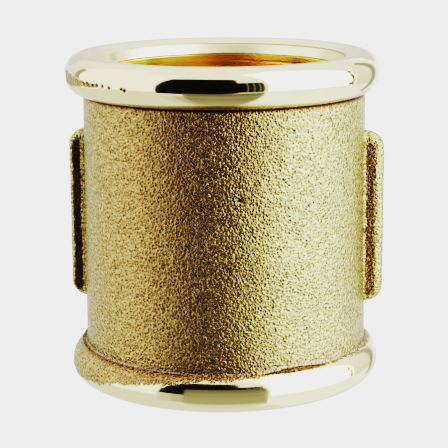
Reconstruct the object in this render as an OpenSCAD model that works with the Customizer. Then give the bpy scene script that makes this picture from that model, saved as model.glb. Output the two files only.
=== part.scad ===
// Cast brass pipe coupling: a plain barrel with two side ribs and a rounded, turned bead round each
// mouth, tapped right-hand from both ends. It is one casting. Each node is one region of it, and the
// regions meet face to face on the cylinder and the planes where the machining begins and ends.
// The bore runs along Z, the ribs lie on X, and the lower end face is at z = 0.

/* [Body] */
// Overall length between the two end faces
length = 29; // [28:0.5:36]
// Outer diameter of the as-cast barrel
barrel_d = 25.1; // [24.6:0.1:25.6]

/* [Beads] */
// Outer diameter over a bead
bead_d = 27.6; // [27.4:0.1:28.4]
// Section radius of a bead
bead_r = 1.6; // [1.5:0.05:1.65]
// Width of the flat ring turned across the top of a bead
face_w = 0.6; // [0.4:0.1:1]

/* [Mouth] */
// Diameter at the outer edge of the countersink
mouth_d = 21.6; // [21.3:0.05:21.7]
// Depth of that edge below the end face
mouth_edge_depth = 0.4; // [0.3:0.05:0.45]
// Diameter of the short plain land below the countersink
land_d = 20.6; // [20.2:0.1:20.8]
// Depth at which the countersink ends and the land begins
land_depth = 1.35; // [1.2:0.05:1.6]
// Depth at which the land ends and the lead-in chamfer begins
lead_in_depth = 2.5; // [2.2:0.1:3]

/* [Thread] */
// Major diameter of the half-inch parallel pipe thread
major_d = 20.955; // [20.9:0.005:21]
// Minor diameter, across the crests inside the bore
minor_d = 18.631; // [18.6:0.001:18.8]
// Pitch, at 14 threads per inch
pitch = 1.8143; // [1.8:0.0001:1.85]
// Length of the plain band left between the two threads
band_l = 1.5; // [1:0.1:3]
// Bore diameter of that band
band_d = 18; // [17.4:0.1:18.2]

/* [Ribs] */
// Length of each rib along the barrel
rib_l = 15.35; // [10:0.05:18]
// Thickness of each rib
rib_t = 1.8; // [1.2:0.1:3]
// Radius of the rounded corners at the ends of a rib
rib_corner_r = 1.5; // [0.4:0.1:2.4]
// Reach of the rib on the -X side from the axis
left_reach = 13.9; // [13.6:0.05:14.6]
// Reach of the rib on the +X side from the axis
right_reach = 14.25; // [13.6:0.05:14.6]

/* [Hidden] */
$fn = 96;
cut = 1;
cast_brass = "#b89a55";
turned_brass = "#e6d48f";
thread_brass = "#c98a2e";

barrel_r = barrel_d / 2;
major_r = major_d / 2;
minor_r = minor_d / 2;
land_r = land_d / 2;
mouth_r = mouth_d / 2;
// The threaded lining ends at this radius, and the barrel and beads begin there
lining_r = 11;
lining_end = (length - band_l) / 2;

// A bead is a ring of round section. Depths are measured inwards from the end face.
bead_ring_r = bead_d / 2 - bead_r;
bead_depth = sqrt(bead_r * bead_r - face_w * face_w / 4);
bead_foot = bead_depth + sqrt(bead_r * bead_r - pow(barrel_r - bead_ring_r, 2));

// The slope between the bead's round and the countersink's edge leaves the round at a tangent
slope_run = bead_ring_r - mouth_r;
slope_rise = bead_depth - mouth_edge_depth;
slope_angle = atan2(slope_rise, -slope_run) - acos(bead_r / norm([slope_run, slope_rise]));
slope_top = [bead_ring_r + bead_r * cos(slope_angle), bead_depth - bead_r * sin(slope_angle)];

// The thread groove keeps the real pitch and the real major and minor radii. Its flanks are steeper
// than the real 55 degree form, so that the crest wall inside it stays wider than the groove.
half_angle = 14.5;
root_w = 0.1;
steps_per_turn = 36;
groove_in_r = minor_r - 0.16;
groove_start = 0.2;
runout = 0.6;
groove_end = lining_end - 0.85;
groove_steps = floor(steps_per_turn * (groove_end - groove_start) / pitch);
runout_steps = runout * steps_per_turn;
// Angle at which the upper end's groove breaks out just below its countersink
breakout_angle = 97;
breakout_turns = (land_depth + 2 * root_w - groove_start) / pitch;

function groove_depth(i) = groove_start + pitch * i / steps_per_turn;
function root_r(i) = major_r - (major_r - groove_in_r - 0.08)
                     * max(0, 1 - (groove_steps - i) / runout_steps);
function half_w(i) = root_w / 2 + (root_r(i) - groove_in_r) * tan(half_angle);
function ring_point(r, a, z) = [r * cos(a), r * sin(a), z];

// Four corners of the groove's section at step i: two on the inside, then two at the root
function groove_ring(i) =
    let (a = 360 * i / steps_per_turn, z = groove_depth(i))
    [ring_point(groove_in_r, a, z + half_w(i)), ring_point(groove_in_r, a, z - half_w(i)),
     ring_point(root_r(i), a, z - root_w / 2), ring_point(root_r(i), a, z + root_w / 2)];

// The helical V groove, right-handed along +Z, swept from the mouth to its run-out
module thread_groove() {
    points = [for (i = [0:groove_steps]) each groove_ring(i)];
    last = 4 * groove_steps;
    sides = [for (i = [0:groove_steps - 1]) for (k = [0:3])
        let (a = 4 * i + k, b = 4 * i + (k + 1) % 4)
        each [[a, b, b + 4], [a, b + 4, a + 4]]];
    ends = [[0, 3, 2], [0, 2, 1], [last, last + 1, last + 2], [last, last + 2, last + 3]];
    polyhedron(points, concat(sides, ends), convexity = 10);
}

// Section of a bead and its countersink, as radius and depth
module bead_section() {
    inner = [[lining_r, land_depth], [land_r, land_depth], [mouth_r, mouth_edge_depth], slope_top];
    intersection() {
        union() {
            translate([bead_ring_r, bead_depth]) circle(r = bead_r);
            polygon(concat(inner, [[bead_ring_r, bead_depth], [barrel_r, bead_foot],
                                   [lining_r, bead_foot]]));
        }
        polygon(concat(inner, [[slope_top[0], 0], [bead_d, 0], [bead_d, bead_foot],
                               [lining_r, bead_foot]]));
    }
}

module end_bead() {
    rotate_extrude() bead_section();
}

// One threaded lining with its land and lead-in chamfer
module end_thread() {
    lead_in_h = land_r - minor_r;
    difference() {
        translate([0, 0, land_depth]) cylinder(r = lining_r, h = lining_end - land_depth);
        translate([0, 0, -cut]) cylinder(r = minor_r, h = lining_end + 2 * cut);
        translate([0, 0, -cut]) cylinder(r = land_r, h = lead_in_depth + cut);
        translate([0, 0, lead_in_depth]) cylinder(r1 = land_r, r2 = minor_r, h = lead_in_h);
        thread_groove();
    }
}

// A rib is a flat plate with rounded outer corners, cut to sit on the barrel
module rib(reach) {
    round_x = reach - rib_corner_r;
    round_z = rib_l / 2 - rib_corner_r;
    difference() {
        translate([0, rib_t / 2, length / 2]) rotate([90, 0, 0]) linear_extrude(rib_t)
            union() {
                for (s = [-1, 1]) translate([round_x, s * round_z]) circle(r = rib_corner_r);
                translate([lining_r, -rib_l / 2]) square([round_x - lining_r, rib_l]);
                translate([lining_r, -round_z]) square([reach - lining_r, 2 * round_z]);
            }
        cylinder(r = barrel_r, h = length);
    }
}

module barrel_wall() {
    color(cast_brass) difference() {
        translate([0, 0, bead_foot]) cylinder(r = barrel_r, h = length - 2 * bead_foot);
        cylinder(r = lining_r, h = length);
    }
}

module top_bead() {
    color(turned_brass) translate([0, 0, length]) mirror([0, 0, 1]) end_bead();
}

module bottom_bead() {
    color(turned_brass) end_bead();
}

module left_rib() {
    color(cast_brass) rotate([0, 0, 180]) rib(left_reach);
}

module right_rib() {
    color(cast_brass) rib(right_reach);
}

module top_thread() {
    color(thread_brass) translate([0, 0, length]) rotate([180, 0, 0])
        rotate([0, 0, -breakout_angle - 360 * breakout_turns]) end_thread();
}

module bottom_thread() {
    color(thread_brass) end_thread();
}

module centre_band() {
    color(thread_brass) translate([0, 0, lining_end]) difference() {
        cylinder(r = lining_r, h = band_l);
        translate([0, 0, -cut]) cylinder(d = band_d, h = band_l + 2 * cut);
    }
}

barrel_wall();
top_bead();
bottom_bead();
left_rib();
right_rib();
top_thread();
bottom_thread();
centre_band();
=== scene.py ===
"""Cast brass pipe coupling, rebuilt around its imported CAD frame, for Blender 4.5.

The real object is one sand casting whose two end beads, mouths and threads were cut on a lathe.
Each piece here stands for one CAD node. Its surface is a grid of points worked out in millimetres:
as-cast skin carries a displaced sand grain, and a turned surface is the lower of the casting and
the tool's path, so the boundary between the two wanders as it does on the real part.
"""

import math

import bpy
import numpy as np
from mathutils import Matrix, Vector


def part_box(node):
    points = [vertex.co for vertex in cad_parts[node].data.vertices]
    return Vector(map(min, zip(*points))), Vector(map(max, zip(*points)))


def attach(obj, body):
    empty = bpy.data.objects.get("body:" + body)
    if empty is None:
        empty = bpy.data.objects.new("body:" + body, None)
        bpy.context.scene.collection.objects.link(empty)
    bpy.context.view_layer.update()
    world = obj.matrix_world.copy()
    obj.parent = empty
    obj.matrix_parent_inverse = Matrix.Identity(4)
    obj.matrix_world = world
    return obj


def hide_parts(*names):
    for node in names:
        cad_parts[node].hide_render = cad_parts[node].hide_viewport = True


MM = 0.001
TAU = 2 * math.pi

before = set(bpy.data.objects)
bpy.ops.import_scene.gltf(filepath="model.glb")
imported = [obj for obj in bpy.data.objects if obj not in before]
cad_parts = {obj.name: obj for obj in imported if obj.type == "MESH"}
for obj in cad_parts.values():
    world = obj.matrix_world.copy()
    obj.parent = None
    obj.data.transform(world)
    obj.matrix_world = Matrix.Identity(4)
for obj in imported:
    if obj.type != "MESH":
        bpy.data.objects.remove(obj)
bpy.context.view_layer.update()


def box_mm(node):
    """Lowest and highest corner of a CAD node, in millimetres."""
    low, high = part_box(node)
    return np.array(low) / MM, np.array(high) / MM


# Driving dimensions that the CAD frame gives, in millimetres
LENGTH = box_mm("top_bead")[1][2]
BARREL_R = box_mm("barrel_wall")[1][0]
BEAD_OUTER_R = box_mm("bottom_bead")[1][0]
BEAD_FOOT = box_mm("bottom_bead")[1][2]
LINING_R = box_mm("centre_band")[1][0]
LINING_END = box_mm("bottom_thread")[1][2]
LAND_DEPTH = box_mm("bottom_thread")[0][2]
RIB_LOW, RIB_HIGH = (corner[2] for corner in box_mm("left_rib"))
RIB_T = 2 * box_mm("left_rib")[1][1]
LEFT_REACH = -box_mm("left_rib")[0][0]
RIGHT_REACH = box_mm("right_rib")[1][0]

# Dimensions inside the nodes, as in the CAD source, in millimetres
BEAD_R = 1.6
FACE_W = 0.6
MOUTH_R = 10.8
MOUTH_EDGE_DEPTH = 0.4
LAND_R = 10.3
LEAD_IN_DEPTH = 2.5
MINOR_R = 9.3155
MAJOR_R = 10.4775
PITCH = 1.8143
BAND_R = 9.0
HALF_ANGLE = math.radians(27.5)
THREAD_START = 0.2  # depth of the groove's centre where it starts
THREAD_STOP = 0.85  # how far short of its lining's end the groove has run out

# What this one casting adds to the nominal part, in millimetres unless it says otherwise
SHOULDER_RISE = 1.17  # how much fuller than a circle a bead is on its barrel side
BEAD_OVERSIZE = 0.06
TOP_PROUD = 0.07
CASTING_SHIFT = np.array([0.15, 0.0, 0.0])
FOOT_OVER, TOP_UNDER = 0.04, 0.14  # the barrel's draft about its nominal radius
FILLET_R = 0.35
FILLET_LIFT = 0.12
DEEPEST_SKIN = 0.45
BARREL_HOLES = [(5.6, 18.1, 0.17), (-24, 12.4, 0.10), (-49, 11.5, 0.10)]  # azimuth, z, size

# The camera stands a little to the right of the front, above the top bead
VIEW_AZIMUTH = math.radians(7.0)
VIEW_ELEVATION = math.radians(12.26)
VIEW_DISTANCE = 144.5
VIEW_ROLL = math.radians(-0.45)
VIEW_TARGET = (0.06, 13.5)
VIEW_LENS = 129.0


# ---------------------------------------------------------------- noise

def lattice(ix, iy, iz, seed):
    """A fixed pseudo-random number from 0 to 1 for each whole-number lattice point."""
    n = ix * 374761393 + iy * 668265263 + iz * 1274126177 + seed * 974634777
    n = (n ^ (n >> 13)) & 0x7FFFFFFF
    n = (n * 1103515245 + 12345) & 0x7FFFFFFF
    n = (n ^ (n >> 15)) * 69069 & 0x7FFFFFFF
    return ((n >> 7) & 0xFFFF) / 65535.0


def value_noise(points, cell, seed):
    """Smooth noise from -1 to 1 whose features are about one cell wide."""
    q = points / cell
    base = np.floor(q).astype(np.int64)
    f = q - base
    f = f * f * f * (f * (f * 6 - 15) + 10)
    total = np.zeros(len(points))
    for dx in (0, 1):
        for dy in (0, 1):
            for dz in (0, 1):
                weight = (
                    (f[:, 0] if dx else 1 - f[:, 0])
                    * (f[:, 1] if dy else 1 - f[:, 1])
                    * (f[:, 2] if dz else 1 - f[:, 2])
                )
                corner = lattice(base[:, 0] + dx, base[:, 1] + dy, base[:, 2] + dz, seed)
                total += weight * corner
    return 2 * total - 1


def dimples(points, cell, seed):
    """Rounded dimples, one per cell: 0 at a dimple's centre, up to about 1 on the ridges."""
    q = points / cell
    base = np.floor(q).astype(np.int64)
    nearest = np.full(len(points), 9.0)
    for dx in (-1, 0, 1):
        for dy in (-1, 0, 1):
            for dz in (-1, 0, 1):
                cx, cy, cz = base[:, 0] + dx, base[:, 1] + dy, base[:, 2] + dz
                gap = np.stack(
                    [cx + lattice(cx, cy, cz, seed), cy + lattice(cx, cy, cz, seed + 1),
                     cz + lattice(cx, cy, cz, seed + 2)], axis=1) - q
                nearest = np.minimum(nearest, (gap * gap).sum(1))
    return np.sqrt(nearest)


def sand_grain(points, seed=0, fineness=1.0):
    """Height in millimetres of the sand mould's grain on the cast skin, about zero on average."""
    fine = dimples(points, 0.30, seed + 11) - 0.55
    soft = value_noise(points, 0.26, seed + 21)
    lumps = value_noise(points, 1.1, seed + 31)
    swell = value_noise(points, 4.5, seed + 41)
    return fineness * (0.030 * fine + 0.022 * soft) + 0.014 * lumps + 0.030 * swell


# ---------------------------------------------------------------- meshes

def mesh_object(name, verts_mm, faces, attributes=None):
    """A smooth-shaded object from points in millimetres, closed and facing outwards."""
    mesh = bpy.data.meshes.new(name)
    mesh.from_pydata((verts_mm * MM).tolist(), [], faces)
    mesh.validate()
    for key, values in (attributes or {}).items():
        layer = mesh.attributes.new(key, "FLOAT", "POINT")
        layer.data.foreach_set("value", np.asarray(values, np.float32))
    mesh.shade_smooth()
    obj = bpy.data.objects.new(name, mesh)
    bpy.context.scene.collection.objects.link(obj)
    return obj


def grid_faces(rows, columns, wrap_rows=True):
    """Quads of a grid whose columns wrap round, and whose rows wrap too when wrap_rows is set."""
    r = np.arange(rows if wrap_rows else rows - 1)[:, None]
    c = np.arange(columns)[None, :]
    r2, c2 = (r + 1) % rows, (c + 1) % columns
    quads = np.stack([r * columns + c, r * columns + c2, r2 * columns + c2, r2 * columns + c], -1)
    return quads.reshape(-1, 4).tolist()


def revolve(profile, steps):
    """Points of a profile of (radius, height) rows turned about Z: rows x steps x 3."""
    angle = np.arange(steps) * TAU / steps
    radius, height = profile[:, 0][:, None], profile[:, 1][:, None]
    return np.stack([radius * np.cos(angle), radius * np.sin(angle),
                     height + 0 * angle], -1)


def grid_normals(points):
    """Outward unit normals of a grid of points that wraps both ways."""
    along = np.roll(points, -1, 0) - np.roll(points, 1, 0)
    around = np.roll(points, -1, 1) - np.roll(points, 1, 1)
    normal = np.cross(around, along)
    return normal / np.maximum(np.linalg.norm(normal, axis=-1, keepdims=True), 1e-9)


def stretch(start, end, spacing):
    """Points from start up to but not including end, at most spacing apart."""
    start, end = np.array(start, float), np.array(end, float)
    count = max(1, math.ceil(np.linalg.norm(end - start) / spacing))
    share = np.arange(count)[:, None] / count
    return start + (end - start) * share


def arc(centre, radius, from_deg, to_deg, spacing):
    """Points of an arc in the profile plane, from one angle up to but not including the other."""
    count = max(1, math.ceil(abs(math.radians(to_deg - from_deg)) * radius / spacing))
    angle = np.radians(from_deg + (to_deg - from_deg) * np.arange(count) / count)
    return np.stack([centre[0] + radius * np.cos(angle), centre[1] + radius * np.sin(angle)], 1)


# ---------------------------------------------------------------- barrel

def taper(z):
    """The casting's draft: the barrel is a little slimmer at the top than at the bottom."""
    return BARREL_R + FOOT_OVER - (FOOT_OVER + TOP_UNDER) * z / LENGTH


def make_barrel():
    """The as-cast barrel, with the small fillet where it runs out into the bottom bead."""
    steps, spacing = 540, 0.14
    ring_r, ring_z = BEAD_OUTER_R - BEAD_R, bead_centre_depth()
    wall_r = taper(BEAD_FOOT)
    rise = math.sqrt((BEAD_R + FILLET_R) ** 2 - (wall_r + FILLET_R - ring_r) ** 2)
    centre = (wall_r + FILLET_R, ring_z + rise + FILLET_LIFT)
    foot_angle = 180 + math.degrees(math.atan2(rise, centre[0] - ring_r))
    fillet = arc(centre, FILLET_R, foot_angle + 25, 180, 0.06)
    top_z = LENGTH - BEAD_FOOT + 0.25
    wall_z = np.arange(centre[1], top_z, spacing)
    wall = np.stack([taper(wall_z), wall_z], 1)
    inner = np.array([[LINING_R, top_z], [LINING_R, LENGTH / 2], [LINING_R, fillet[0, 1] - 0.42],
                      [fillet[0, 0] - 0.35, fillet[0, 1] - 0.42]])
    skirt = stretch(fillet[0] + [0.05, -0.42], fillet[0], 0.14)
    profile = np.concatenate([skirt, fillet, wall, inner])
    points = revolve(profile, steps)
    normals = grid_normals(points)
    weight = np.zeros(len(profile))
    weight[: len(profile) - len(inner)] = 1
    grain = sand_grain(points.reshape(-1, 3), fineness=0.45).reshape(points.shape[:2])
    points = points + normals * (grain * weight[:, None])[..., None]
    azimuth = azimuth_from_view(points)
    blown = 0 * azimuth
    for at_azimuth, at_z, size in BARREL_HOLES:
        gap = (np.radians(azimuth - at_azimuth) * BARREL_R) ** 2 + (points[..., 2] - at_z) ** 2
        blown += 0.28 * np.exp(-gap / size ** 2) * (weight[:, None] > 0)
    points = points - normals * blown[..., None]
    # The moulded fillet isn't quite level, and the casting stood a little off the lathe's axis
    rise = 0.40 * np.exp(-((azimuth - 28) / 11) ** 2) - 0.06 * np.exp(-((azimuth + 8) / 16) ** 2)
    points[..., 2] += rise * (weight * np.clip((6 - profile[:, 1]) / 2.6, 0, 1))[:, None]
    points += CASTING_SHIFT * weight[:, None, None]
    cast = np.broadcast_to(weight[:, None], points.shape[:2])
    # Painted shade in the two corners against the beads, deepest under the top bead, and in the
    # blowholes; a painted grey reflection along the fillet
    foot_z = fillet[0, 1]
    low = np.exp(-(np.clip(profile[:, 1] - foot_z - 0.02, 0, None) / 0.08) ** 2)
    painted_fillet_reflection = 0.8 * np.exp(-((profile[:, 1] - foot_z - 0.26) / 0.11) ** 2)
    high = np.exp(-(np.clip(LENGTH - BEAD_FOOT - 0.32 - profile[:, 1], 0, None) / 0.25) ** 2)
    shade = (0.8 * low + high - painted_fillet_reflection)[:, None] + np.clip(blown / 0.16, 0, 1)
    return mesh_object("barrel_casting", points.reshape(-1, 3), grid_faces(len(profile), steps),
                       {"cast_skin": cast.ravel(), "shade": shade.ravel()})


def bead_centre_depth():
    """Depth of the centre of a bead's section below the end face."""
    return math.sqrt(BEAD_R ** 2 - FACE_W ** 2 / 4)


# ---------------------------------------------------------------- beads

def bead_profile():
    """Closed profile of a bead and its countersink as (radius, depth), with each point's section
    angle: degrees from the outward direction, positive towards the barrel."""
    ring_r, ring_d = BEAD_OUTER_R - BEAD_R, bead_centre_depth()
    run, climb = ring_r - MOUTH_R, ring_d - MOUTH_EDGE_DEPTH
    tangent = math.degrees(math.atan2(climb, -run) - math.acos(BEAD_R / math.hypot(run, climb)))
    face_angle = math.degrees(math.asin(FACE_W / 2 / BEAD_R))
    foot = 76.0

    def section(angle):
        return (ring_r + BEAD_R * math.cos(math.radians(angle)),
                ring_d - BEAD_R * math.sin(math.radians(angle)))

    def full_shoulder(points):
        """The half of the bead towards the barrel is a little fuller than a circle."""
        points[:, 1] += (SHOULDER_RISE - 1) * np.clip(points[:, 1] - ring_d, 0, None)
        return points

    parts = [
        stretch((LINING_R, LAND_DEPTH), (LAND_R, LAND_DEPTH), 0.4),
        stretch((LAND_R, LAND_DEPTH), (MOUTH_R, MOUTH_EDGE_DEPTH), 0.2),
        stretch((MOUTH_R, MOUTH_EDGE_DEPTH), section(tangent), 0.12),
        arc((ring_r, ring_d), BEAD_R, -tangent, -(90 + face_angle), 0.12),
        stretch(section(90 + face_angle), section(90 - face_angle), 0.1),
        full_shoulder(arc((ring_r, ring_d), BEAD_R, -(90 - face_angle), foot, 0.08)),
        stretch(section(-foot), (LINING_R, BEAD_FOOT), 0.4),
        stretch((LINING_R, BEAD_FOOT), (LINING_R, LAND_DEPTH), 0.6),
    ]
    profile = np.concatenate(parts)
    outer_start = sum(len(p) for p in parts[:5])
    outer = np.arange(outer_start, outer_start + len(parts[5]))
    return profile, outer


def azimuth_from_view(points):
    """Angle of each point round the axis, in degrees from the side that faces the camera."""
    heading = np.degrees(np.arctan2(points[..., 1], points[..., 0])) + 90
    turned = heading - math.degrees(VIEW_AZIMUTH)
    return (turned + 180) % 360 - 180


def bottom_skin(section, azimuth):
    """How far the casting stands outside the tool's path on the bottom bead. The casting sat off
    the lathe's axis, so on one side its skin lies below the path and was never cut."""
    lean = -0.04 + 1.4 * np.cos(np.radians(azimuth - 45))
    s = np.radians(section)
    return 0.16 * (0.2 + lean * np.cos(s) - np.sin(s))


def pits(section, azimuth, places):
    """Blowholes that the tool opened, each at an azimuth and a section angle, in millimetres."""
    depth = 0 * section * azimuth
    for at_azimuth, at_section, size in places:
        across = np.radians(azimuth - at_azimuth) * BEAD_OUTER_R / size
        along = np.radians(section - at_section) * BEAD_R / size
        depth = depth + 0.4 * np.exp(-across ** 2 - along ** 2)
    return depth


BOTTOM_HOLES = [(52, 31, 0.10), (53.3, 22, 0.09), (53, 12, 0.13)]
TOP_HOLES = [(-57.5, 7, 0.10), (-54.6, 5, 0.11), (-51.4, 8, 0.10), (-48.6, 5, 0.11),
             (-45.5, 5, 0.11), (-42.3, 8, 0.12), (-36.5, 8, 0.10), (-35.2, 11, 0.12),
             (50.3, -29, 0.09), (51.3, -21, 0.12), (52.2, -14, 0.12), (52.8, -8, 0.13),
             (52.8, -1, 0.11), (51.6, 5, 0.13), (50.2, 7, 0.11)]


def top_patch(section, azimuth):
    """Where the top bead didn't quite clean up: a shallow patch and its tail, from 0 to 1."""
    patch = np.exp(-((azimuth + 77) / 17) ** 2 - ((section - 6) / 20) ** 2)
    tail = np.exp(-((azimuth + 56) / 10) ** 2 - ((section - 7) / 8) ** 2)
    return patch, tail


def top_surface(section, azimuth):
    """How far the casting stands outside the tool's path on the top bead."""
    patch, tail = top_patch(section, azimuth)
    return 0.10 - 0.24 * patch - 0.15 * tail


def make_bead(name, skin, holes, upside_down):
    """A turned bead. Where the casting's skin lies below the tool's path, the skin is left."""
    steps = 880
    profile, outer = bead_profile()
    # Both beads were turned a little over size, and the top one a little proud
    profile[:, 0] += BEAD_OVERSIZE * np.clip(profile[:, 0] - 11.6, 0, 1)
    if upside_down:
        profile[:, 1] -= TOP_PROUD * np.clip(1 - profile[:, 1] / LAND_DEPTH, 0, 1)
    points = revolve(profile, steps)
    if upside_down:
        points[..., 2] = LENGTH - points[..., 2]
    normals = grid_normals(points)
    if upside_down:
        normals = -normals
    ring_r, ring_d = BEAD_OUTER_R - BEAD_R, bead_centre_depth()
    section = np.degrees(np.arctan2(profile[:, 1] - ring_d, profile[:, 0] - ring_r))
    stand = np.full(points.shape[:2], 0.2)
    around = azimuth_from_view(points[outer])
    grain = sand_grain(points[outer].reshape(-1, 3), seed=50).reshape(around.shape)
    angles = section[outer][:, None]
    blown = pits(angles, around, holes)
    stand[outer] = skin(angles, around) + 0.9 * grain - blown
    depth = np.clip(stand, -DEEPEST_SKIN, 0)
    points = points + normals * depth[..., None]
    cast = np.clip(-stand / 0.012, 0, 1)
    # Painted shade in open pits, in the top patch's hollows and on the shoulder that faces the
    # barrel, and a slight even darkening of the bottom bead's cast skin
    shade = np.zeros(points.shape[:2])
    if upside_down:
        patch, tail = top_patch(angles, around)
        skin_tint_and_shade = 0.35 * np.clip(2 * (patch + tail), 0, 1) * np.clip(0.2 - grain / 0.025, 0, 1)
    else:
        skin_tint_and_shade = 0.07 + 0.43 * np.clip((angles - 50) / 18, 0, 1)
    shade[outer] = np.maximum(skin_tint_and_shade * cast[outer], np.clip(blown / 0.22, 0, 0.75))
    # A painted dark reflection where the countersink meets the crest, round the back and right
    edge = np.abs(profile[:, 0] - MOUTH_R) < 0.02
    line = np.clip(np.cos(np.radians(azimuth_from_view(points[edge]) - 125)) + 0.45, 0, 1)
    shade[edge] = 0.9 * line
    # The flat between the bead and the barrel was faced by the moulding, not the tool; painted
    # shade darkens it in the gap to the barrel
    flat_rows = math.ceil((profile[outer[-1], 0] - LINING_R) / 0.4)
    beside = slice(outer[-1] + 1, outer[-1] + 1 + flat_rows)
    cast[beside], shade[beside] = 1, 0.6
    faces = grid_faces(len(profile), steps)
    if upside_down:
        faces = [face[::-1] for face in faces]
    return mesh_object(name, points.reshape(-1, 3), faces,
                       {"cast_skin": cast.ravel(), "shade": shade.ravel()})


# ---------------------------------------------------------------- threads

def thread_radius(depth, turn):
    """Inner radius at a depth and an angle in turns: the 55 degree thread form with rounded root
    and crest, cut away by the land and the lead-in chamfer."""
    runout = 0.6 * PITCH
    sharp = PITCH / 2 / math.tan(HALF_ANGLE)
    phase = (depth - THREAD_START) / PITCH - turn
    offset = np.abs(phase - np.round(phase)) * PITCH
    flank = MAJOR_R + sharp / 6 - offset / math.tan(HALF_ANGLE)
    turns_left = (LINING_END - THREAD_STOP - depth) / runout
    root = MAJOR_R - (MAJOR_R - MINOR_R) * np.clip(1 - turns_left, 0, 1)
    break_in = np.clip((depth - 1.85) / 0.35, 0, 1)
    root = np.minimum(root, LAND_R - 0.02 + (MAJOR_R - LAND_R) * break_in)
    groove = smooth_min(flank, root, 0.10)
    bore = np.interp(depth, [0, LEAD_IN_DEPTH, LEAD_IN_DEPTH + LAND_R - MINOR_R],
                     [LAND_R, LAND_R, MINOR_R])
    return smooth_max(groove, bore, 0.03)


def smooth_min(a, b, width):
    """The lower of two values, rounded where they meet."""
    h = np.clip(0.5 + 0.5 * (b - a) / width, 0, 1)
    return b + (a - b) * h - width * h * (1 - h)


def smooth_max(a, b, width):
    """The higher of two values, rounded where they meet."""
    return -smooth_min(-a, -b, width)


def make_thread(name, upside_down):
    """One tapped lining. Turned over, its thread keeps its right hand."""
    steps, spacing = 360, 0.055
    depth = np.concatenate([np.arange(LAND_DEPTH, LINING_END, spacing), [LINING_END]])
    turn = np.arange(steps) / steps
    inner = thread_radius(depth[:, None], turn[None, :])
    outer_depth = np.array([LINING_END, LENGTH / 4, LAND_DEPTH])
    outer = np.full((3, steps), LINING_R)
    radius = np.concatenate([inner, outer])
    height = np.concatenate([depth, outer_depth])[:, None] + 0 * radius
    angle = TAU * turn
    points = np.stack([radius * np.cos(angle), radius * np.sin(angle), height], -1)
    faces = [face[::-1] for face in grid_faces(len(radius), steps)]
    flat = points.reshape(-1, 3)
    if upside_down:
        # Spun so that the groove breaks out on the bore's far wall, where the mouth shows it
        breakout = math.radians(97) + TAU * (LAND_DEPTH + PITCH / 6 - THREAD_START) / PITCH
        spin = np.array(Matrix.Rotation(math.pi, 3, "X") @ Matrix.Rotation(-breakout, 3, "Z"))
        flat = flat @ spin.T + [0, 0, LENGTH]
    return mesh_object(name, flat, faces)


def make_band():
    """The plain cast band left in the middle of the bore, with its corners broken."""
    steps = 300
    low, high, corner = LINING_END, LENGTH - LINING_END, 0.25
    profile = np.concatenate([
        stretch((LINING_R, high), (BAND_R + corner, high), 0.5),
        arc((BAND_R + corner, high - corner), corner, 90, 180, 0.1),
        stretch((BAND_R, high - corner), (BAND_R, low + corner), 0.12),
        arc((BAND_R + corner, low + corner), corner, 180, 270, 0.1),
        stretch((BAND_R + corner, low), (LINING_R, low), 0.5),
        stretch((LINING_R, low), (LINING_R, high), 0.8),
    ])
    points = revolve(profile, steps)
    normals = grid_normals(points)
    inside = profile[:, 0] < BAND_R + corner
    grain = sand_grain(points.reshape(-1, 3), seed=90).reshape(points.shape[:2])
    points = points + normals * (grain * inside[:, None])[..., None]
    cast = np.ones(points.shape[:2])
    return mesh_object("centre_band_cast", points.reshape(-1, 3),
                       grid_faces(len(profile), steps), {"cast_skin": cast.ravel()})


# ---------------------------------------------------------------- ribs

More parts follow.
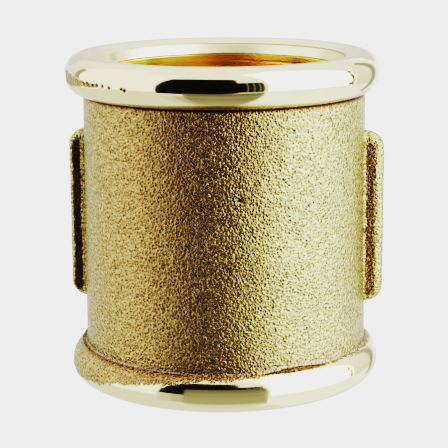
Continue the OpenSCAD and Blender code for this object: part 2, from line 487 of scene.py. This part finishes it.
def make_rib(name, side, reach, foot, edge, face_shade, borders):
    """A moulded rib: a plate with rounded ends and edges, flared at its root into the barrel. The
    borders are the widths of the pale strips that frame its front face, darkened with painted
    shade, at the rim, the lower end, the upper end and the root, and then how dark the painted
    shade along the root is."""
    end_z, end_x, flare = 1.45, 1.6, 0.35
    spacing = 0.12
    mid = (foot + RIB_HIGH) / 2
    root_x = BARREL_R - 0.45
    # The rim's path in the XZ plane: up the lower end, along the outer edge, down the upper end
    count = math.ceil(math.pi / 2 * (end_x + end_z) / 2 / spacing)
    corner = np.radians(np.arange(count + 1) * 90 / count)
    low_corner = np.stack([reach - end_x + end_x * np.sin(corner),
                           foot + end_z - end_z * np.cos(corner)], 1)
    wall = stretch((root_x, foot), low_corner[0], spacing)
    low_half = np.concatenate([wall, low_corner])
    edge_run = stretch(low_corner[-1], (reach, mid), spacing)[1:]
    half = np.concatenate([low_half, edge_run])
    other = half[::-1].copy()
    other[:, 1] = 2 * mid - other[:, 1]
    rim = np.concatenate([half, [[reach, mid]], other])
    step = np.gradient(rim, axis=0)
    out = np.stack([step[:, 1], -step[:, 0]], 1)
    out /= np.linalg.norm(out, axis=1, keepdims=True)
    # Across the rib: one side face from root to edge, the rounded edge, the flat, and back
    half_t = RIB_T / 2
    turns = np.radians(np.linspace(0, 90, 8))
    rounded = np.stack([-half_t + edge - edge * np.cos(turns), edge - edge * np.sin(turns)], 1)
    flat_y = np.linspace(-half_t + edge, half_t - edge, 9)[1:-1]
    rounded_back = rounded[::-1] * [-1, 1]
    across = np.concatenate([rounded, np.stack([flat_y, 0 * flat_y], 1), rounded_back])
    side_steps = 16
    rows = []
    for (x, z), (nx, nz) in zip(rim, out):
        anchor = np.array([root_x, np.clip(z, foot + end_z, RIB_HIGH - end_z)])
        line = [[x - nx * d, y, z - nz * d] for y, d in across]
        start, end = np.array(line[0]), np.array(line[-1])
        share = np.linspace(0, 1, side_steps, endpoint=False)[:, None]
        lower = np.array([anchor[0], start[1], anchor[1]]) * (1 - share) + start * share
        upper = end * (1 - share[::-1] - 1 / side_steps) \
            + np.array([anchor[0], end[1], anchor[1]]) * (share[::-1] + 1 / side_steps)
        upper = upper[::-1]
        rows.append(np.concatenate([lower, line, upper]))
    points = np.array(rows)
    # Flare the root outwards where it meets the barrel
    height = np.hypot(points[..., 0], points[..., 1]) - BARREL_R
    gap = np.clip(flare - height, 0, flare)
    bulge = flare - np.sqrt(flare ** 2 - gap ** 2)
    points[..., 1] += np.sign(points[..., 1]) * bulge * (np.abs(points[..., 1]) > half_t * 0.9)
    count_rows, columns = points.shape[:2]
    flat = points.reshape(-1, 3) * [side, 1, 1]
    faces = grid_faces(count_rows, columns, wrap_rows=False)
    faces.append(list(range(columns))[::-1])
    faces.append(list(range((count_rows - 1) * columns, count_rows * columns)))
    if side < 0:
        faces = [face[::-1] for face in faces]
    obj = mesh_object(name, flat, faces)
    normals = np.array([v.normal for v in obj.data.vertices])
    grain = sand_grain(flat, seed=70 if side > 0 else 80, fineness=0.7)
    moved = (flat + normals * grain[:, None]) * MM
    obj.data.vertices.foreach_set("co", moved.astype(np.float32).ravel())
    # The front face is darkened with painted shade, a painted reflection of the dark card, inside
    # ragged borders at the rim, the ends and the root, and painted shade lines the root
    rim_w, low_w, high_w, root_w, root_shade = borders
    out_x, z = np.abs(flat[:, 0]), flat[:, 2]
    inset = np.minimum(reach - out_x - rim_w, np.minimum(z - foot - low_w, RIB_HIGH - high_w - z))
    inset = np.minimum(inset, np.hypot(flat[:, 0], flat[:, 1]) - BARREL_R - root_w)
    front = np.clip((inset + 0.11 * value_noise(flat, 0.28, 75)) / 0.10, 0, 1)
    root = root_shade * np.clip(1 - np.abs(out_x - BARREL_R) / 0.25, 0, 1)
    front = np.maximum(face_shade * front, root) * (flat[:, 1] < -0.75 * half_t)
    for key, values in (("cast_skin", np.ones(len(flat))), ("shade", front)):
        layer = obj.data.attributes.new(key, "FLOAT", "POINT")
        layer.data.foreach_set("value", values.astype(np.float32))
    obj.data.update()
    return obj


# ---------------------------------------------------------------- materials

class Graph:
    """A material's node tree, built one node at a time."""

    def __init__(self, name):
        self.material = bpy.data.materials.new(name)
        self.material.use_nodes = True
        self.tree = self.material.node_tree
        self.tree.nodes.clear()

    def add(self, kind, inputs=None, **settings):
        """A node with its inputs set to values or linked to sockets."""
        made = self.tree.nodes.new(kind)
        for key, value in settings.items():
            setattr(made, key, value)
        for key, value in (inputs or {}).items():
            if isinstance(value, bpy.types.NodeSocket):
                self.tree.links.new(value, made.inputs[key])
            else:
                made.inputs[key].default_value = value
        return made

    def math(self, operation, *values, clamp=False):
        made = self.add("ShaderNodeMath", dict(enumerate(values)), operation=operation)
        made.use_clamp = clamp
        return made.outputs[0]

    def mix(self, share, a, b):
        """A number between a and b."""
        made = self.add("ShaderNodeMix", {0: share, 2: a, 3: b}, data_type="FLOAT")
        return made.outputs[0]

    def mix_colour(self, share, a, b):
        made = self.add("ShaderNodeMix", {0: share, 6: a, 7: b}, data_type="RGBA")
        return made.outputs[2]

    def noise(self, vector, cell_mm, detail=2.0, roughness=0.5):
        made = self.add("ShaderNodeTexNoise", {
            "Vector": vector, "Scale": 1 / (cell_mm * MM), "Detail": detail,
            "Roughness": roughness})
        return made.outputs[0]

    def cells(self, vector, cell_mm):
        made = self.add("ShaderNodeTexVoronoi", {
            "Vector": vector, "Scale": 1 / (cell_mm * MM)}, feature="F1")
        return made.outputs["Distance"]

    def level(self, value, low, high, to_low=0.0, to_high=1.0):
        """Maps low to high onto to_low to to_high, held within them."""
        made = self.add("ShaderNodeMapRange", {
            "Value": value, "From Min": low, "From Max": high,
            "To Min": to_low, "To Max": to_high})
        return made.outputs[0]


def rgb(r, g, b):
    return (r, g, b, 1.0)


def cast_layer(g, place):
    """Colour, roughness and height (metres) of sand-cast brass skin. The side of the casting that
    faces front and left is stained warmer, and its front is darker still with painted shade."""
    grain = g.cells(place, 0.21)
    soft = g.noise(place, 0.17, detail=2.0, roughness=0.6)
    tone = g.noise(place, 3.5, detail=3.0)
    speck = g.noise(place, 0.11, detail=1.0)
    shade = g.add("ShaderNodeAttribute", attribute_name="shade").outputs["Fac"]
    height = g.math("ADD", g.math("MULTIPLY", grain, 0.55), g.math("MULTIPLY", soft, 0.9))
    top = g.level(height, 0.43, 0.88)
    x, y, z = g.add("ShaderNodeSeparateXYZ", {0: place}).outputs
    toward_left = g.math("SUBTRACT", g.math("MULTIPLY", x, -0.34), g.math("MULTIPLY", y, 0.94))
    toward_left = g.math("ADD", toward_left, g.math("MULTIPLY", tone, 2.5 * MM))
    toward_left = g.math("ADD", toward_left, g.math("MULTIPLY", z, 0.05))
    stain = g.level(toward_left, 9.8 * MM, 14.6 * MM)
    skin = g.mix_colour(stain, rgb(0.69, 0.63, 0.33), rgb(0.66, 0.49, 0.26))
    hollow = g.mix_colour(stain, rgb(0.09, 0.075, 0.04), rgb(0.16, 0.105, 0.06))
    colour = g.mix_colour(top, hollow, skin)
    # Painted shade down the front, a painted reflection of the dark card, deepest under the top
    # bead as a painted shadow
    toward_front = g.math("ADD", g.math("MULTIPLY", y, -1.0), g.math("MULTIPLY", tone, 1.2 * MM))
    toward_front = g.math("ADD", toward_front, g.level(z, 15 * MM, 27 * MM, 0.5 * MM, 1.5 * MM))
    painted_front_shade = g.level(toward_front, 12.1 * MM, 13.9 * MM, 0.0, 0.36)
    colour = g.mix_colour(painted_front_shade, colour, rgb(0.21, 0.16, 0.115))
    # Shade runs from painted shade in corners, pits and on the ribs' faces (positive) to a painted
    # grey reflection on the fillet (negative)
    painted_shade_brown = g.mix_colour(top, rgb(0.14, 0.085, 0.045), rgb(0.52, 0.37, 0.20))
    colour = g.mix_colour(g.level(shade, 0.0, 0.5), colour, painted_shade_brown)
    colour = g.mix_colour(g.level(shade, 0.5, 1.0), colour, rgb(0.045, 0.024, 0.014))
    colour = g.mix_colour(g.level(shade, 0.0, -1.0), colour, rgb(0.30, 0.25, 0.23))
    roughness = g.math("ADD", g.math("MULTIPLY", speck, 0.22), 0.16)
    return colour, roughness, g.math("MULTIPLY", height, 0.000112)


def turned_layer(g, place):
    """Colour, roughness and height (metres) of bright lathe-turned brass with fine tool lines."""
    x, y, z = g.add("ShaderNodeSeparateXYZ", {0: place}).outputs
    radius = g.math("SQRT", g.math("ADD", g.math("MULTIPLY", x, x), g.math("MULTIPLY", y, y)))
    ring = g.add("ShaderNodeCombineXYZ", {0: radius, 1: z, 2: g.math("MULTIPLY", x, 0.02)})
    slow = g.add("ShaderNodeCombineXYZ", {0: radius, 1: z, 2: g.math("MULTIPLY", y, 0.05)})
    lines = g.noise(ring.outputs[0], 0.06, detail=3.0, roughness=0.7)
    bands = g.noise(slow.outputs[0], 0.35, detail=2.0)
    smear = g.noise(place, 3.0, detail=3.0)
    height = g.math("ADD", g.math("MULTIPLY", lines, 0.0000006),
                    g.math("MULTIPLY", bands, 0.000002))
    colour = g.mix_colour(g.level(smear, 0.3, 0.7), rgb(0.92, 0.83, 0.49), rgb(0.96, 0.88, 0.54))
    # The shade attribute paints shade in pits and hollows and a dark reflection along the mouth's
    # edge
    shade = g.add("ShaderNodeAttribute", attribute_name="shade").outputs["Fac"]
    colour = g.mix_colour(shade, colour, rgb(0.20, 0.16, 0.08))
    # The tool left the countersinks, the shoulders towards the barrel and the foot duller
    mouth = g.level(radius, 12.4 * MM, 12.0 * MM, 0.0, 0.17)
    from_middle = g.math("ABSOLUTE", g.math("SUBTRACT", z, LENGTH / 2 * MM))
    shoulder = g.level(from_middle, 12.4 * MM, 11.5 * MM, 0.0, 0.08)
    foot = g.level(z, 2.2 * MM, 0.9 * MM, 0.0, 0.10)
    dull = g.math("ADD", g.math("ADD", mouth, shoulder), g.math("ADD", foot, 0.03))
    roughness = g.math("ADD", g.math("MULTIPLY", lines, 0.10), dull)
    return colour, roughness, height


def finish_material(g, colour, roughness, height):
    """A bare metal with the given colour, roughness and height (metres)."""
    bump = g.add("ShaderNodeBump", {"Height": height, "Strength": 1.0, "Distance": 1.0})
    shader = g.add("ShaderNodeBsdfPrincipled", {
        "Base Color": colour, "Roughness": roughness, "Metallic": 1.0,
        "Normal": bump.outputs[0]})
    out = g.add("ShaderNodeOutputMaterial", {0: shader.outputs[0]})
    out.is_active_output = True
    return g.material


def place_of(g):
    """Coordinates in metres that stay with the object."""
    return g.add("ShaderNodeTexCoord").outputs["Object"]


def cast_material():
    """Sand-cast brass skin."""
    g = Graph("cast_brass")
    return finish_material(g, *cast_layer(g, place_of(g)))


def bead_material():
    """Turned brass, with cast skin wherever the mesh says the tool missed it."""
    g = Graph("turned_brass")
    place = place_of(g)
    skin = g.add("ShaderNodeAttribute", attribute_name="cast_skin").outputs["Fac"]
    cast, turned = cast_layer(g, place), turned_layer(g, place)
    return finish_material(
        g, g.mix_colour(skin, turned[0], cast[0]), g.mix(skin, turned[1], cast[1]),
        g.mix(skin, turned[2], cast[2]))


def thread_material():
    """Freshly tapped brass: bright, with tear marks along the flanks."""
    g = Graph("thread_brass")
    place = place_of(g)
    height = turned_layer(g, place)[2]
    x, y, z = g.add("ShaderNodeSeparateXYZ", {0: place}).outputs
    along = g.add("ShaderNodeCombineXYZ", {
        0: z, 1: g.math("MULTIPLY", x, 0.06), 2: g.math("MULTIPLY", y, 0.06)}).outputs[0]
    tear = g.noise(along, 0.16, detail=3.0, roughness=0.6)
    colour = g.mix_colour(g.level(tear, 0.45, 0.75), rgb(0.96, 0.84, 0.47), rgb(0.91, 0.72, 0.35))
    # Painted shade, darker along the back of the bore
    painted_bore_shade = g.level(g.math("ADD", y, g.math("MULTIPLY", x, 0.08)), 7.6 * MM, 9.8 * MM, 0.0, 0.80)
    colour = g.mix_colour(painted_bore_shade, colour, rgb(0.62, 0.33, 0.13))
    roughness = g.math("ADD", g.math("MULTIPLY", tear, 0.12), 0.10)
    height = g.math("ADD", height, g.math("MULTIPLY", tear, 0.0000015))
    return finish_material(g, colour, roughness, height)


# ---------------------------------------------------------------- studio

def view_direction(azimuth_deg):
    """Level unit vector at an azimuth from the camera's own, positive to the camera's right."""
    a = math.radians(azimuth_deg) + VIEW_AZIMUTH
    return np.array([math.sin(a), -math.cos(a), 0.0])


def glow(name, radiance, fade=None):
    """An emitting material. A fade gives what to measure (height, or reach from the bore's axis),
    where it starts and ends in millimetres, and the radiance at its end."""
    g = Graph(name)
    if fade:
        measure, start, end, last = fade
        where = g.add("ShaderNodeNewGeometry").outputs["Position"]
        x, y, z = g.add("ShaderNodeSeparateXYZ", {0: where}).outputs
        reach = g.math("SQRT", g.math("ADD", g.math("MULTIPLY", x, x), g.math("MULTIPLY", y, y)))
        value = z if measure == "height" else reach
        radiance = g.level(value, start * MM, end * MM, radiance, last)
    emission = g.add("ShaderNodeEmission", {"Strength": radiance})
    g.add("ShaderNodeOutputMaterial", {0: emission.outputs[0]})
    return g.material


def stage_piece(name, verts_mm, faces, material, seen_by_camera):
    """A piece of the studio, which isn't part of the object."""
    mesh = bpy.data.meshes.new(name)
    mesh.from_pydata((np.array(verts_mm) * MM).tolist(), [], faces)
    mesh.materials.append(material)
    obj = bpy.data.objects.new(name, mesh)
    obj.visible_camera = seen_by_camera
    bpy.context.scene.collection.objects.link(obj)
    return obj


def card(name, azimuths, heights, distance, radiance, lean=0.0, fade=None):
    """An upright panel between two azimuths and two heights, seen only in reflections. Its foot
    may lean out by some degrees past the first azimuth."""
    low, high = np.array([0, 0, heights[0]]), np.array([0, 0, heights[1]])
    foot = view_direction(azimuths[0] - lean) * distance / math.cos(math.radians(lean))
    a, b = (view_direction(x) * distance for x in azimuths)
    corners = [foot + low, b + low, b + high, a + high]
    return stage_piece(name, corners, [(0, 1, 2, 3)], glow(name, radiance, fade), False)


def table_shade(name, azimuths, reaches, radiance, fade=None):
    """A darker stretch of table in front of the object, seen only in reflections. Its sides follow
    the reflections in a bead, which turn through twice the angle that the bead's surface does."""
    (left, right), (near, far) = azimuths, reaches
    corners = [view_direction(azimuth / 2) * BEAD_OUTER_R + view_direction(azimuth) * reach
               + [0, 0, -0.02] for azimuth, reach in (
                   (left, near), (right, near), (right, far), (left, far))]
    return stage_piece(name, corners, [(0, 1, 2, 3)], glow(name, radiance, fade), False)


def dome_patch(name, azimuths, elevations, distance, radiance):
    """A curved softbox: a patch of a sphere round the object, seen only in reflections."""
    rows, columns = 12, 40
    centre = np.array([0, 0, LENGTH / 2])
    verts = []
    for e in np.radians(np.linspace(*elevations, rows)):
        for a in np.linspace(*azimuths, columns):
            verts.append(centre + distance * (math.cos(e) * view_direction(a)
                                              + math.sin(e) * np.array([0, 0, 1])))
    faces = [(i, i + 1, i + columns + 1, i + columns)
             for r in range(rows - 1) for i in range(r * columns, (r + 1) * columns - 1)]
    return stage_piece(name, verts, faces, glow(name, radiance), False)


def disc(name, radius, height, material, steps=96):
    """A level disc on the bore's axis, facing up."""
    ring = [(radius * math.cos(TAU * i / steps), radius * math.sin(TAU * i / steps), height)
            for i in range(steps)]
    return stage_piece(name, ring, [tuple(range(steps))], material, True)


def make_floor():
    """A plain pale floor that reaches the edge of every view. Metal reflects the studio instead,
    so a small matt patch closes the bore's foot, where the object stands on the floor. The patch
    is darker than the floor: painted shade where the bore shades it."""
    g = Graph("pale_floor")
    diffuse = g.add("ShaderNodeBsdfDiffuse", {"Color": rgb(0.8, 0.8, 0.8)})
    emission = g.add("ShaderNodeEmission", {"Strength": 2.6})
    both = g.add("ShaderNodeMixShader", {0: 0.8, 1: diffuse.outputs[0], 2: emission.outputs[0]})
    g.add("ShaderNodeOutputMaterial", {0: both.outputs[0]})
    floor = disc("floor", 3000, -0.03, g.material)
    backdrop = dome_patch("backdrop", (0, 360), (-2, 90), 2900, 2.4)
    backdrop.visible_camera = True
    for piece in (floor, backdrop):
        piece.visible_glossy = False
    backdrop.visible_diffuse = backdrop.visible_shadow = False
    g = Graph("floor_under_bore")
    matt = g.add("ShaderNodeBsdfDiffuse", {"Color": rgb(0.22, 0.20, 0.18)})
    g.add("ShaderNodeOutputMaterial", {0: matt.outputs[0]})
    disc("floor_under_bore", BEAD_OUTER_R - BEAD_R, -0.01, g.material)


def make_world():
    """Soft light from all round, brighter from above than from below."""
    world = bpy.data.worlds.new("studio")
    world.use_nodes = True
    tree = world.node_tree
    background = tree.nodes["Background"]
    background.inputs["Color"].default_value = rgb(1, 1, 1)
    where = tree.nodes.new("ShaderNodeTexCoord")
    split = tree.nodes.new("ShaderNodeSeparateXYZ")
    ramp = tree.nodes.new("ShaderNodeMapRange")
    for key, value in {"From Min": -0.3, "From Max": 0.8, "To Min": 1.05, "To Max": 1.5}.items():
        ramp.inputs[key].default_value = value
    tree.links.new(where.outputs["Generated"], split.inputs[0])
    tree.links.new(split.outputs[2], ramp.inputs["Value"])
    tree.links.new(ramp.outputs[0], background.inputs["Strength"])
    bpy.context.scene.world = world


def make_studio():
    """Soft light, and the softboxes, cards and table shades that the brass reflects."""
    make_world()
    make_floor()
    dome_patch("softbox_right", (33, 108), (-14, 75), 420, 4.0)
    dome_patch("softbox_left", (-128, -48), (-16, 60), 420, 1.8)
    dome_patch("fill_low_right", (31, 150), (-70, -15), 420, 1.6)
    card("dark_card", (-42, 11), (-46, 212), 190, 0.03, lean=6)
    card("dark_card_side", (11, 29), (-32, 121), 190, 0.03)
    for i, azimuth in enumerate((17.0, 21.5, 25.5)):
        card(f"slat_{i}", (azimuth, azimuth + 0.9), (-25, 115), 184, 0.6)
    card("grey_card", (-25, 26.5), (0, 14.8), 45.5, 0.46, fade=("height", 0, 14.8, 0.28))
    table_shade("shade_foot", (-30, 31), (0.5, 1.5), 0.95, fade=("reach", 14.2, 15.0, 0.50))
    table_shade("shade_front", (-30, 31), (1.5, 40), 0.50, fade=("reach", 15.2, 41, 0.36))
    table_shade("shade_left", (-39, -30), (1.2, 40), 0.66)
    table_shade("shade_outer", (-50, -39), (1.2, 40), 0.85)
    card("gap_right", (135, 144), (-220, 245), 380, 0.5)
    card("edge_right", (148, 166), (-90, 210), 372, 1.8)
    card("gap_left", (-131, -123), (-60, 190), 380, 0.5)
    card("back_wall", (150, 210), (60, 150), 380, 0.95)


def make_camera():
    """A long lens that looks a little down on the object."""
    data = bpy.data.cameras.new("camera")
    data.lens = VIEW_LENS
    data.sensor_width = 36.0
    data.clip_start, data.clip_end = 0.001, 10.0
    camera = bpy.data.objects.new("camera", data)
    right = np.array([math.cos(VIEW_AZIMUTH), math.sin(VIEW_AZIMUTH), 0])
    level = view_direction(0)
    back = level * math.cos(VIEW_ELEVATION) + np.array([0, 0, math.sin(VIEW_ELEVATION)])
    target = right * VIEW_TARGET[0] + np.array([0, 0, VIEW_TARGET[1]])
    spin = Vector(-back).to_track_quat("-Z", "Y").to_matrix() @ Matrix.Rotation(VIEW_ROLL, 3, "Z")
    camera.matrix_world = Matrix.Translation((target + back * VIEW_DISTANCE) * MM) @ spin.to_4x4()
    bpy.context.scene.collection.objects.link(camera)
    bpy.context.scene.camera = camera


def set_tone():
    """The camera's contrast: one tone curve over scene light from 0 to 4, the same for every
    channel.
    """
    settings = bpy.context.scene.view_settings
    settings.view_transform = "Standard"
    settings.use_curve_mapping = True
    mapping = settings.curve_mapping
    white = 4.0
    mapping.white_level = (white, white, white)
    tones = [(0.125, 0.02), (0.25, 0.125), (0.5, 0.43), (1.0, 0.69), (2.0, 0.855)]
    curve = mapping.curves[3]
    curve.points[0].location = (0.0, 0.0)
    curve.points[-1].location = (1.0, 0.86)
    for light, shown in tones:
        curve.points.new(light / white, shown)
    for point in curve.points[-2:]:
        point.handle_type = "VECTOR"
    mapping.update()


# ---------------------------------------------------------------- assembly

def assemble():
    """Makes every piece, puts it on the body, and hides the CAD node that it stands for."""
    cast, bead, thread = cast_material(), bead_material(), thread_material()
    pieces = [
        (make_barrel(), "barrel_wall", "cast_brass", cast),
        (make_bead("bottom_bead_turned", bottom_skin, BOTTOM_HOLES, False),
         "bottom_bead", "turned_brass", bead),
        (make_bead("top_bead_turned", top_surface, TOP_HOLES, True),
         "top_bead", "turned_brass", bead),
        (make_rib("left_rib_casting", -1, LEFT_REACH - 0.04, RIB_LOW - 0.10, 0.50, 0.88,
                  (0.28, 0.62, 0.98, 0.20, 0.42)), "left_rib", "cast_brass", cast),
        (make_rib("right_rib_casting", 1, RIGHT_REACH + 0.06, RIB_LOW - 0.08, 0.86, 0.56,
                  (0.62, 0.62, 0.98, 0.26, 0.0)), "right_rib", "cast_brass", cast),
        (make_thread("bottom_thread_cut", False), "bottom_thread", "thread_brass", thread),
        (make_thread("top_thread_cut", True), "top_thread", "thread_brass", thread),
        (make_band(), "centre_band", "cast_brass", cast),
    ]
    for piece, node, slot, material in pieces:
        piece.data.materials.append(material)
        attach(piece, "root")
        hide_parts(node)


assemble()
make_studio()
make_camera()
set_tone()
